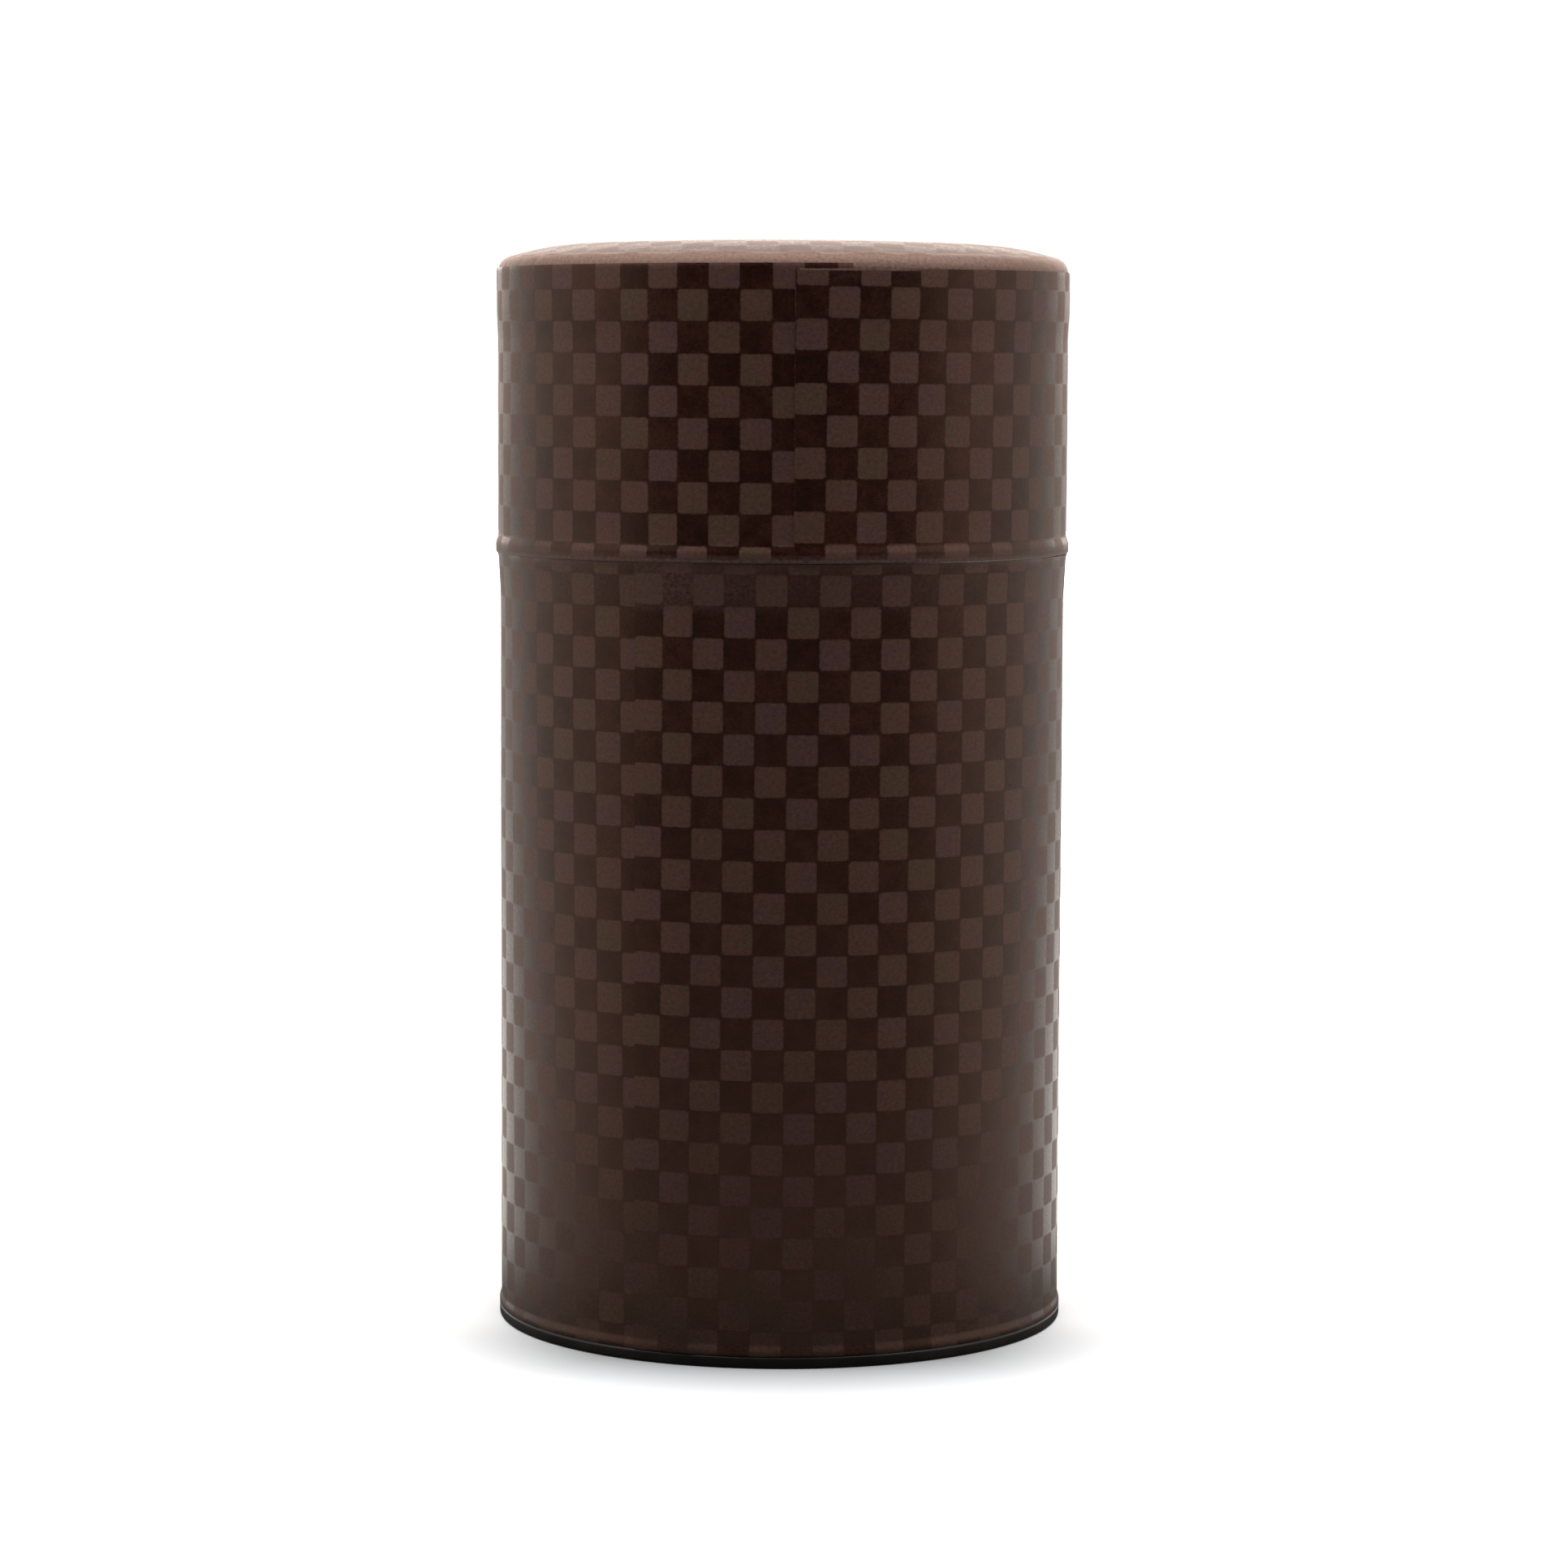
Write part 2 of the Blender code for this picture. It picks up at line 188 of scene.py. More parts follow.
def chequer(tree, sheet):
    """Which square of the print a point is in, and 1 where the paper is bare, 0 under ink."""
    half, corner_round, soft_edge, wander = 0.487, 0.115, 0.028, 0.055  # in squares
    # Ink creeps along the fibres, so a square's edge wanders by about a tenth of a millimetre.
    creep = mottle(tree, sheet, SQUARE / 0.42, 3.0, 0.6, output="Color", flat=True)
    moved = vectors(tree, "MULTIPLY_ADD", creep, (wander, wander, 0), sheet)
    place = vectors(tree, "SUBTRACT", moved, (wander / 2, wander / 2, 0))
    square = vectors(tree, "FLOOR", place)
    within = vectors(tree, "FRACTION", place)
    centred = vectors(tree, "SUBTRACT", within, (0.5, 0.5, 0))
    reach = vectors(tree, "ABSOLUTE", centred)
    inner = half - corner_round
    beyond = vectors(tree, "SUBTRACT", reach, (inner, inner, 0))
    outside = vectors(tree, "MAXIMUM", beyond, (0, 0, 0))
    distance = vectors(tree, "LENGTH", outside, output="Value")
    rounded = span(tree, distance, corner_round - soft_edge, corner_round + soft_edge, 1.0, 0.0)
    count = vectors(tree, "DOT_PRODUCT", square, (1, 1, 0), output="Value")
    odd = maths(tree, "FLOORED_MODULO", count, 2.0)
    even = maths(tree, "SUBTRACT", 1.0, odd)
    return square, maths(tree, "MULTIPLY", rounded, even)


def washi_grain(tree, sheet):
    """Kozo fibres in two directions, about 0.12 mm across, over a finer pulp."""
    fibres = []
    for turn, scale in ((0.5, 6.0), (-0.9, 7.5)):
        inputs = {"Vector": sheet, "Rotation": (0, 0, turn), "Scale": (scale, scale * 4.5, 1)}
        laid = node(tree, "ShaderNodeMapping", inputs).outputs["Vector"]
        fibres.append(mottle(tree, laid, 1.0, 3.0, 0.62, 0.6, flat=True))
    fibre = maths(tree, "ADD", fibres[0], fibres[1])
    pulp = mottle(tree, sheet, SQUARE / 0.55, 5.0, 0.68, flat=True)
    return maths(tree, "MULTIPLY_ADD", fibre, 0.5, pulp), pulp


def fresh_print(tree, sheet, square, bare):
    """Dye and ink as printed, each square a little different."""
    # Dye takes unevenly: each square has its own cast, and clouds half a square wide cross them.
    chance = node(tree, "ShaderNodeTexWhiteNoise", {"Vector": square}, noise_dimensions="2D").outputs
    cloud = mottle(tree, sheet, 1.7, 4.0, 0.6, flat=True)
    hue = maths(tree, "MULTIPLY_ADD", chance["Value"], 0.35, cloud)
    matt_dye = ramp(
        tree, hue,
        [(0.42, linear("#563D3F")), (0.56, linear("#59403B")),
         (0.70, linear("#5B3F37")), (0.86, linear("#544236"))],
    )
    # The ink lies thicker in some squares than in others, from nearly black to oxblood.
    body_of_ink = node(tree, "ShaderNodeSeparateColor", {0: chance["Color"]}).outputs["Red"]
    thin = maths(tree, "MULTIPLY_ADD", body_of_ink, 0.30, cloud)
    ink = ramp(
        tree, thin,
        [(0.42, linear("#1F0C07")), (0.62, linear("#2B120D")), (0.86, linear("#381C16"))],
    )
    return blend(tree, bare, ink, matt_dye)


def print_wear_and_painted_light(tree, fresh, pulp):
    """The print after use: scuffed to a dull plum haze and worn to pale paper, and brought to one
    brown of painted shade and reflection toward the body's foot.
    """
    rubbed = node(tree, "ShaderNodeAttribute", attribute_name=WEAR_AND_PAINTED_LIGHT).outputs["Fac"]
    scuffed = span(tree, pulp, 0.3, 0.6, 0.4, 1.0)
    haze = maths(tree, "MULTIPLY", rubbed, scuffed, clamp=True)
    # Ink worn past dull, as on an edge that hands wear most, is gone to the pale paper; on the lid's
    # shoulder this pale is partly a painted highlight.
    faded = maths(tree, "SUBTRACT", rubbed, 1.0)
    dull_ink = blend(tree, faded, linear("#523E3A"), linear("#896E63"))
    hazed = blend(tree, haze, fresh, dull_ink)
    # Under nought the attribute is painted shade and reflection: toward the body's foot ink and bare
    # paper are brought to one brown, the bare squares darkened as painted shade and the ink lightened
    # as a painted floor reflection.
    painted_foot_shade = maths(tree, "MULTIPLY", rubbed, -1.0, clamp=True)
    return blend(tree, painted_foot_shade, hazed, linear("#402F29")), haze


def printed_washi():
    """Washi with a chequer printed on it, pasted and rubbed down on the tin.

    The matt squares are bare dyed paper with its fibres. The squares between them carry a
    glossy ink, darker and smoother, which mirrors the room a little.
    """
    material, tree, shader = blank("printed_washi")
    sheet = node(tree, "ShaderNodeUVMap", uv_map=PRINT_MAP).outputs["UV"]
    square, bare = chequer(tree, sheet)
    grain, pulp = washi_grain(tree, sheet)
    toned, haze = print_wear_and_painted_light(tree, fresh_print(tree, sheet, square, bare), pulp)
    light = span(tree, grain, 0.78, 1.22, 0.72, 1.28)
    tree.links.new(scaled(tree, toned, light), shader.inputs["Base Color"])

    ink_rough = span(tree, grain, 0.7, 1.3, 0.24, 0.36)
    dull = maths(tree, "MULTIPLY_ADD", haze, 0.2, ink_rough)
    rough = span(tree, bare, 0.0, 1.0, dull, 0.5)
    tree.links.new(rough, shader.inputs["Roughness"])
    shader.inputs["IOR"].default_value = 1.5
    shader.inputs["Specular Tint"].default_value = (1.0, 0.60, 0.44, 1)  # the ink's brown bronzing
    # The ink's film fills the grain a little, so a bare square lies lower than a printed one.
    relief = maths(tree, "MULTIPLY_ADD", bare, -0.35, grain)
    emboss(tree, shader, relief, 0.35, 0.04)
    return material


def bare_washi():
    """The washi's cut edge and its back: undyed kozo, cream, soft and fibrous."""
    material, tree, shader = blank("bare_washi")
    place = node(tree, "ShaderNodeTexCoord").outputs["Object"]
    fibre = mottle(tree, place, 1 / (0.5 * MM), 4.0, 0.65)
    colour = ramp(tree, fibre, [(0.3, linear("#8C7566")), (0.7, linear("#B6A08E"))])
    tree.links.new(colour, shader.inputs["Base Color"])
    shader.inputs["Roughness"].default_value = 0.9
    emboss(tree, shader, fibre, 0.4, 0.03)
    return material


def tinplate():
    """Cold-rolled steel with a bright tin coat: a grey mirror broken up by the mill's fine lines."""
    material, tree, shader = blank("tinplate")
    place = node(tree, "ShaderNodeTexCoord").outputs["Object"]
    rolled = node(tree, "ShaderNodeMapping", {"Vector": place, "Scale": (1, 1, 22)}).outputs["Vector"]
    # Mill lines are a few hundredths of a millimetre apart; they are drawn at 0.15 mm to show.
    lines = mottle(tree, rolled, 1 / (3.3 * MM), 4.0, 0.7)
    smears = mottle(tree, place, 1 / (14 * MM), 5.0, 0.6, 0.4)
    colour = ramp(tree, smears, [(0.35, linear("#B9B6B0")), (0.65, linear("#CFCCC6"))])
    tree.links.new(colour, shader.inputs["Base Color"])
    shader.inputs["Metallic"].default_value = 1.0
    rough = maths(tree, "MULTIPLY_ADD", lines, 0.5, smears)
    tree.links.new(span(tree, rough, 0.5, 1.0, 0.2, 0.36), shader.inputs["Roughness"])
    emboss(tree, shader, lines, 0.25, 0.02)
    return material


def black_lacquered_tin():
    """Tinplate with a stoved black lacquer: glossy, with a faint orange peel and rubbed spots."""
    material, tree, shader = blank("black_lacquered_tin")
    place = node(tree, "ShaderNodeTexCoord").outputs["Object"]
    peel = mottle(tree, place, 1 / (1.2 * MM), 2.0)
    rubbed = mottle(tree, place, 1 / (9 * MM), 6.0, 0.65)
    colour = ramp(tree, rubbed, [(0.4, linear("#110B08")), (0.7, linear("#1D1511"))])
    tree.links.new(colour, shader.inputs["Base Color"])
    tree.links.new(span(tree, rubbed, 0.3, 0.75, 0.28, 0.5), shader.inputs["Roughness"])
    shader.inputs["IOR"].default_value = 1.5
    emboss(tree, shader, peel, 0.2, 0.03)
    return material


def plated_knob():
    """Turned steel with a nickel plate: bright, with faint turning rings and handling marks."""
    material, tree, shader = blank("plated_knob")
    place = node(tree, "ShaderNodeTexCoord").outputs["Object"]
    turned = node(tree, "ShaderNodeMapping", {"Vector": place, "Scale": (1, 1, 14)}).outputs["Vector"]
    rings = mottle(tree, turned, 1 / (2 * MM), 4.0)
    marks = mottle(tree, place, 1 / (3 * MM), 6.0, 0.7)
    colour = ramp(tree, marks, [(0.35, linear("#C9C5BC")), (0.65, linear("#D9D5CC"))])
    tree.links.new(colour, shader.inputs["Base Color"])
    shader.inputs["Metallic"].default_value = 1.0
    tree.links.new(span(tree, marks, 0.35, 0.7, 0.12, 0.24), shader.inputs["Roughness"])
    emboss(tree, shader, rings, 0.15, 0.02)
    return material


# ---------------------------------------------------------------- modelling by hand


def deselect_all():
    if bpy.context.object and bpy.context.object.mode != "OBJECT":
        bpy.ops.object.mode_set(mode="OBJECT")
    bpy.ops.object.select_all(action="DESELECT")


def choose(piece):
    """Selects one piece alone and makes it the active one."""
    deselect_all()
    piece.select_set(True)
    bpy.context.view_layer.objects.active = piece


def give_thickness(piece, face_material, core_material):
    """The sheet gets its thickness inwards; its back and its cut edge show the bare paper."""
    piece.data.materials.append(face_material)
    piece.data.materials.append(core_material)
    walls = piece.modifiers.new("thickness", "SOLIDIFY")
    walls.thickness = SHEET_MM * MM
    walls.offset = -1.0
    walls.use_even_offset = True
    walls.material_offset = 1
    walls.material_offset_rim = 1
    choose(piece)
    bpy.ops.object.modifier_apply(modifier=walls.name)
    bpy.ops.object.shade_smooth_by_angle(angle=math.radians(40))


def sheet_grid(name, across, up):
    """A flat grid with its UV map, to be laid as a sheet of paper."""
    deselect_all()
    bpy.ops.mesh.primitive_grid_add(x_subdivisions=across, y_subdivisions=up, size=1, calc_uvs=True)
    piece = bpy.context.object
    piece.name = piece.data.name = name
    piece.data.uv_layers[0].name = PRINT_MAP
    return piece


def lay_print(piece, places, wear):
    """Writes each vertex's place on the print to the UV map, and its wear and painted light to the
    attribute.
    """
    print_map = piece.data.uv_layers[PRINT_MAP].data
    for loop in piece.data.loops:
        print_map[loop.index].uv = places[loop.vertex_index]
    rubbed = piece.data.attributes.new(WEAR_AND_PAINTED_LIGHT, "FLOAT", "POINT")
    rubbed.data.foreach_set("value", wear)


# ---------------------------------------------------------------- the two side sheets


def between(table, at):
    """Value at a place in a table of (place, value) pairs, straight between the pairs."""
    if at <= table[0][0]:
        return table[0][1]
    for (low, first), (high, second) in zip(table, table[1:]):
        if at <= high:
            return first + (second - first) * (at - low) / (high - low)
    return table[-1][1]


def ease(value):
    """Nought to one, starting and ending gently."""
    value = min(1.0, max(0.0, value))
    return value * value * (3 - 2 * value)


def row_heights(contour):
    """Heights of the sheet's rows: each bend of the contour, and rows between them."""
    heights = [contour[0][0]]
    for (low, _), (high, _) in zip(contour, contour[1:]):
        parts = math.ceil((high - low) / ROW_MM)
        heights += [low + (high - low) * part / parts for part in range(1, parts + 1)]
    return heights


def print_place(sheet, degrees, height):
    """Place on the print, in squares, of a point so many degrees past the seam and so high."""
    pitch = FULL_TURN / sheet["squares_round"]
    share = degrees / FULL_TURN
    start_lean, end_lean, middle = sheet["lean"]
    lean = start_lean + (end_lean - start_lean) * share
    end, start_slope, end_slope = sheet["drift"]
    drift = (
        start_slope * (share**3 - 2 * share**2 + share)
        + end * (3 * share**2 - 2 * share**3)
        + end_slope * (share**3 - share**2)
    )
    along = sheet["start"] + degrees / pitch - lean * (height - middle) / SQUARE
    up = (height - drift - sheet["row_zero"]) / SQUARE
    return along, up


def wall_waves(angle, height, depth):
    """The hand-rolled tin isn't quite true: its wall waves in and out by a few hundredths."""
    return depth * noise.noise(Vector((math.sin(angle) * 1.6, math.cos(angle) * 1.6, height / 30)))


def lap_rise(degrees, out):
    """How far the start of the sheet stands off the tin where it lies on the end, mm."""
    raised = SHEET_MM * LAP_RAISE * (1 - ease((degrees - LAP_DEG - LAP_HOLD_DEG) / LAP_FADE_DEG))
    return raised * (1 - LAP_PRESSED * min(1.0, out / HEM_OUT))


def rolled_sheet(name, sheet, wall, foot, contour, edges, head_curve, wear_and_shade_at):
    """A flat sheet of real size, rolled once round the tin, its start pasted over its end."""
    total = FULL_TURN + LAP_DEG
    heights = row_heights(contour)
    rows = len(heights) - 1
    piece = sheet_grid(name, round(total / COLUMN_DEG), rows)
    places, wear = [], []
    for vertex in piece.data.vertices:
        degrees = (vertex.co.x + 0.5) * total
        rise = heights[round((vertex.co.y + 0.5) * rows)]
        out = between(contour, rise)
        height = foot + rise + edges(min(degrees, FULL_TURN) / FULL_TURN, rise)
        angle = math.radians(sheet["seam"] + degrees)
        waves = wall_waves(angle, height, WAVE_MM) * ease((rise - 3) / 9)
        radius = wall + out + lap_rise(degrees, out) + waves
        radius -= head_curve(height)
        places.append(print_place(sheet, degrees, height))
        wear.append(wear_and_shade_at(angle, rise))
        vertex.co = Vector((radius * math.sin(angle), -radius * math.cos(angle), height)) * MM
    lay_print(piece, places, wear)
    return piece


def body_wear_and_foot_shade(angle, rise):
    """The lid's rim rubs the body's top row, most a little left of the front; toward its foot the
    print is brought to one brown as painted shade and painted floor reflection.
    """
    most = 0.30 + 0.45 * math.exp(-(((math.degrees(angle) + 20) / 16) ** 2))
    patchy = 0.25 * noise.noise(Vector((angle * 3.0, rise / 3.0, 4.0)))
    rubbed = max(0.0, most + patchy) * ease((rise - 101.8) / 2.6)
    # Painted shade and floor reflection, in clouds, over the lowest 46 mm and strongest at the foot.
    clouds = 0.5 * noise.noise(Vector((math.sin(angle) * 5, math.cos(angle) * 5, rise / 9)))
    painted_foot_shade = max(0.0, 0.62 + clouds) * (1 - ease((rise - 4.0) / 42.0))
    return rubbed - painted_foot_shade


def lid_wear(angle, rise):
    """The strip is worn pale along its foot, and at its head where the start end stands proud."""
    patchy = 0.35 * max(0.0, noise.noise(Vector((angle * 4.0, rise / 2.0, 9.0))))
    rubbed = patchy * max(ease((2.2 - rise) / 1.2), ease((rise - 38.0) / 1.5))
    foot = 1.25 * (1 - ease((rise - 0.4) / 0.4))
    past_seam = math.degrees(angle) - LID_SHEET["seam"]
    proud = 1.9 * ease((rise - 39.6) / 0.3) * ease(past_seam / 1.0)
    proud *= 1 - ease((past_seam - 20.0) / 12.0)
    return max(rubbed, foot, proud)


def body_wrap(washi, core):
    """The body's sheet: over the base's rolled rim at its foot and the flare at its head."""
    low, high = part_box("body_paper")
    foot, wall = low.z / MM, high.x / MM - BODY_OUT
    piece = rolled_sheet(
        "body_wrap", BODY_SHEET, wall, foot, BODY_CONTOUR,
        edges=lambda share, rise: 0.0, head_curve=lambda height: 0.0, wear_and_shade_at=body_wear_and_foot_shade,
    )
    give_thickness(piece, washi, core)
    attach(piece, "body")
    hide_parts("body_paper")


def lid_edges(share, rise):
    """The strip was wound a little aslant: its head climbs, and its foot wanders, on the way round."""
    head = (-0.4 + 0.8 * share) * ease((rise - 36.0) / 4.0)
    foot = (-0.19 + 0.07 * math.sin(math.tau * share)) * ease((1.5 - rise) / 1.5)
    return head + foot


def over_corner(above):
    """How far the strip's head leans in, so high above the start of the corner under it."""
    return CORNER_ARC - math.sqrt(CORNER_ARC**2 - max(0.0, above) ** 2)


def lid_strip(washi, core):
    """The lid's side sheet: over the hem at its foot and the top sheet's edge at its head."""
    low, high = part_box("lid_side_paper")
    foot, wall = low.z / MM, high.x / MM - LID_OUT
    corner = high.z / MM - LID_HEAD
    piece = rolled_sheet(
        "lid_strip", LID_SHEET, wall, foot, LID_CONTOUR,
        edges=lid_edges, head_curve=lambda height: over_corner(height - corner), wear_and_shade_at=lid_wear,
    )
    give_thickness(piece, washi, core)
    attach(piece, "lid")
    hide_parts("lid_side_paper")


# ---------------------------------------------------------------- the top sheet


def arc(centre, radius, start, end, steps):
    """Points on an arc, from start to end in degrees from the radius towards the height."""
    turns = [math.radians(start + (end - start) * step / steps) for step in range(steps + 1)]
    return [(centre[0] + radius * math.cos(t), centre[1] + radius * math.sin(t)) for t in turns]


def dome_outline(side, top, depth):
    """The lid's top from its axis out to its side: crown, shoulder and corner arcs, mm.

    The line lies so deep under the face of the paper.
    """
    crown_turn = math.degrees(math.asin(CROWN_REACH / CROWN_ARC))
    back = CROWN_ARC - SHOULDER_ARC
    shoulder = (
        back * math.sin(math.radians(crown_turn)),
        top - CROWN_ARC + back * math.cos(math.radians(crown_turn)),
    )
    step_in = SHOULDER_ARC - CORNER_ARC
    turn = math.degrees(math.asin((side - CORNER_ARC - shoulder[0]) / step_in))
    corner = (side - CORNER_ARC, shoulder[1] + step_in * math.cos(math.radians(turn)))
    crown_line = arc((0.0, top - CROWN_ARC), CROWN_ARC - depth, 90, 90 - crown_turn, 9)
    shoulder_line = arc(shoulder, SHOULDER_ARC - depth, 90 - crown_turn, 90 - turn, 9)
    corner_line = arc(corner, CORNER_ARC - depth, 90 - turn, 0, 18)
    return crown_line + shoulder_line[1:] + corner_line[1:]


def pleats(seed):
    """Depth of the small folds round the turned-down edge, column by column, mm."""
    chance = random.Random(seed)
    depths = [0.0] * TOP_COLUMNS
    at = 0.0
    while at < TOP_COLUMNS:
        wide = chance.uniform(1.0, 2.6)
        deep = chance.choice((0.03, 0.05, 0.08, 0.12))
        for near in range(-8, 9):
            column = int(at) + near
            depths[column % TOP_COLUMNS] += deep * math.exp(-(((column - at) / wide) ** 2))
        at += chance.uniform(5.0, 19.0)
    return depths


def cap_outline(side, top, foot):
    """The top sheet from its centre to its turned-down edge, and the length of sheet to each point."""
    outline = dome_outline(side, top, 0.0)
    base = outline[-1][1]
    rows = TURNED_DOWN_ROWS
    outline += [(side, base + (foot - base) * part / rows) for part in range(1, rows + 1)]
    lengths = [0.0]
    for (r0, z0), (r1, z1) in zip(outline, outline[1:]):
        lengths.append(lengths[-1] + math.hypot(r1 - r0, z1 - z0))
    return outline, lengths


def cap_point(radius, height, angle, past_bend, fold):
    """A point of the top sheet with its swelling, its wrinkle and its pleat."""
    fold *= ease(past_bend / 3.0)
    swell = SWELL_MM * noise.noise(Vector((radius * math.sin(angle), radius * math.cos(angle), 0)) / 6)
    tilt = ease(past_bend / BEND_RUN)
    streaks = noise.noise(Vector((math.sin(angle) * 8, math.cos(angle) * 8, 5.0)))
    wrinkle = ease(0.4 + 2.2 * streaks) * math.exp(-(((past_bend - WRINKLE_AT) / WRINKLE_WIDE) ** 2))
    radius -= fold * tilt
    height += swell - fold * (1 - tilt) + WRINKLE_MM * wrinkle
    return Vector((radius * math.sin(angle), -radius * math.cos(angle), height)) * MM


def cap_wear_and_highlight(past_bend):
    """The crown's ink is dulled to a haze; the shoulder is pale paper, partly edge wear and partly a
    painted highlight where the shoulder faces the light; the turned-down edge is less pale.
    """
    return 0.85 + 1.15 * ease((past_bend - 0.3) / 1.2) - 1.2 * ease((past_bend - 3.9) / 1.0)


def cap_print(far, angle):
    """Place on the print of a point so far along the sheet from its centre."""
    x, y = far * math.sin(angle), -far * math.cos(angle)
    across = (x * math.cos(TOP_TURN) + y * math.sin(TOP_TURN)) / SQUARE + 0.5
    deep_in = (y * math.cos(TOP_TURN) - x * math.sin(TOP_TURN) - TOP_ROW_ZERO) / SQUARE
    return across, deep_in


def lid_cap_paper(washi, core):
    """The disc of paper pasted over the lid's top, pleated where it turns down over the corner."""
    low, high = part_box("lid_top_paper")
    outline, lengths = cap_outline(high.x / MM, high.z / MM, low.z / MM)
    rings = len(outline) - 1
    piece = sheet_grid("lid_cap_paper", rings, TOP_COLUMNS)
    folds = pleats(11)
    places, wear = [], []
    bend = lengths[-1 - TURNED_DOWN_ROWS] - BEND_RUN
    for vertex in piece.data.vertices:
        ring = round((vertex.co.x + 0.5) * rings)
        column = round((vertex.co.y + 0.5) * TOP_COLUMNS)
        angle = math.tau * column / TOP_COLUMNS
        places.append(cap_print(lengths[ring], angle))
        past_bend = lengths[ring] - bend
        wear.append(cap_wear_and_highlight(past_bend))
        vertex.co = cap_point(*outline[ring], angle, past_bend, folds[column % TOP_COLUMNS])
    lay_print(piece, places, wear)
    bpy.ops.object.mode_set(mode="EDIT")
    bpy.ops.mesh.select_all(action="SELECT")
    bpy.ops.mesh.remove_doubles(threshold=0.0001 * MM)
    bpy.ops.mesh.normals_make_consistent(inside=False)
    bpy.ops.object.mode_set(mode="OBJECT")
    give_thickness(piece, washi, core)
    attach(piece, "lid")
    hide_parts("lid_top_paper")


# ---------------------------------------------------------------- tin pieces


def spun(name, outline, steps):
    """A closed outline of (radius, height) points in mm, spun about the caddy's axis."""
    deselect_all()
    bpy.ops.mesh.primitive_circle_add(vertices=len(outline), radius=1, fill_type="NOTHING")
    piece = bpy.context.object
    piece.name = piece.data.name = name
    for vertex, (radius, height) in zip(piece.data.vertices, outline):
        vertex.co = Vector((radius, 0.0, height)) * MM
    bpy.ops.object.mode_set(mode="EDIT")
    bpy.ops.mesh.select_all(action="SELECT")
    bpy.ops.mesh.spin(steps=steps, angle=math.tau, center=(0, 0, 0), axis=(0, 0, 1))
    bpy.ops.mesh.select_all(action="SELECT")
    bpy.ops.mesh.remove_doubles(threshold=0.001 * MM)
    bpy.ops.mesh.delete_loose()
    bpy.ops.mesh.select_all(action="SELECT")
    bpy.ops.mesh.normals_make_consistent(inside=False)
    bpy.ops.object.mode_set(mode="OBJECT")
    return piece


def raise_lap(piece, degrees, above, outside):
    """The tin's lap: a strip 4 mm wide stands out of the tube's face by a third of its sheet."""
    for vertex in piece.data.vertices:
        radius = math.hypot(vertex.co.x, vertex.co.y)
        if vertex.co.z < above * MM or radius < outside * MM:
            continue
        turn = math.degrees(math.atan2(vertex.co.x, -vertex.co.y)) - degrees
        turn = (turn + 180) % FULL_TURN - 180
        rise = 0.10 * (1 - ease((abs(turn) - 2.2) / 1.6))
        vertex.co.x *= 1 + rise * MM / radius
        vertex.co.y *= 1 + rise * MM / radius


def body_can(low, high):
    """Body tube: drawn in a little at its foot, flared at its top edge."""
    wall = high[0] - 0.48
    top = high[1]
    outer = [(wall - 0.05, low[1]), (wall - 0.05, 2.9), (wall, 3.0), (wall, top - 6.5)]
    outer += [(wall + 0.3, top - 0.6), (wall + 0.42, top - 0.25), (wall + 0.47, top - 0.06)]
    inner = [(radius - 0.3, height) for radius, height in reversed(outer)]
    return outer + [(wall + 0.40, top), (wall + 0.24, top)] + inner


def foot_rim(low, high):
    """Recessed base with a stamped ring, its edge rolled round the tube's foot in a black bead."""
    out = high[0]
    panel, tin, seat = 2.3, 0.3, out - 1.275
    under = [(0, panel), (31.0, panel), (31.8, panel + 0.25), (34.2, panel + 0.25), (35.0, panel)]
    under += arc((seat - 0.5, panel - 0.5), 0.5, 90, 0, 5)
    foot = arc((seat + 0.2, 0.2), 0.2, 180, 270, 4) + arc((out - 0.4, 0.4), 0.4, 270, 360, 7)
    bead = [(out, 1.25)] + arc((out - 0.25, 1.35), 0.25, 0, 45, 3) + [(out - 0.175, 1.7)]
    roll = [(out - 0.175, 2.3), (out - 0.26, 2.52), (out - 0.42, 2.6), (out - 0.475, 2.5)]
    inside = [(out - 0.475, tin), (seat + tin, tin)]
    inside += arc((seat - 0.2, panel + tin - 0.5), 0.5, 0, 90, 5)
    over = [(35.2, panel + tin), (34.4, panel + tin + 0.25)]
    over += [(31.6, panel + tin + 0.25), (30.8, panel + tin), (0, panel + tin)]
    return under + foot + bead + roll + inside + over


def neck(low, high):
    """Neck: a plain tube whose top edge is rolled inward and back on itself."""
    wall, top = high[0], high[1]
    edge = arc((wall - 0.3, top - 0.3), 0.3, 0, 180, 8)
    back = [(wall - 0.6, top - 0.75), (wall - 0.54, top - 0.86)]
    back += [(wall - 0.4, top - 0.9), (wall - 0.3, top - 0.98)]
    return [(wall - 0.3, low[1]), (wall, low[1])] + edge + back


def lid_can(low, high):
    """Lid's skirt: a straight tube with its foot turned out in a hem."""
    hem, foot, top = high[0], low[1], high[1]
    bore, wall = hem - 0.71, hem - 0.41
    turned_out = arc((hem - 0.3, foot + 0.3), 0.3, 270, 360, 5)
    rise = [(hem, foot + 1.2), (hem - 0.05, foot + 1.45), (hem - 0.2, foot + 1.85)]
    rise += [(hem - 0.36, foot + 2.2), (wall, foot + 2.5)]
    mouth = [(bore, top), (bore, foot + 0.15), (bore + 0.08, foot)]
    return turned_out + rise + [(wall, top)] + mouth


def lid_plate(low, high):
    """Domed plate under the lid's top sheet, stepped in to a flange inside the skirt."""
    side, top = high[0] + 0.25, high[1] + 0.25
    outside = dome_outline(side, top, 0.25)
    inside = dome_outline(side, top, 0.55)
    flange = side - 0.85
    step = [(flange, outside[-1][1] - 0.3), (flange, low[1] + 0.1), (flange - 0.1, low[1])]
    step += [(flange - 0.2, low[1]), (flange - 0.3, low[1] + 0.1)]
    step += [(flange - 0.3, inside[-3][1] - 0.3)]
    return outside + step + list(reversed(inside[:-2]))


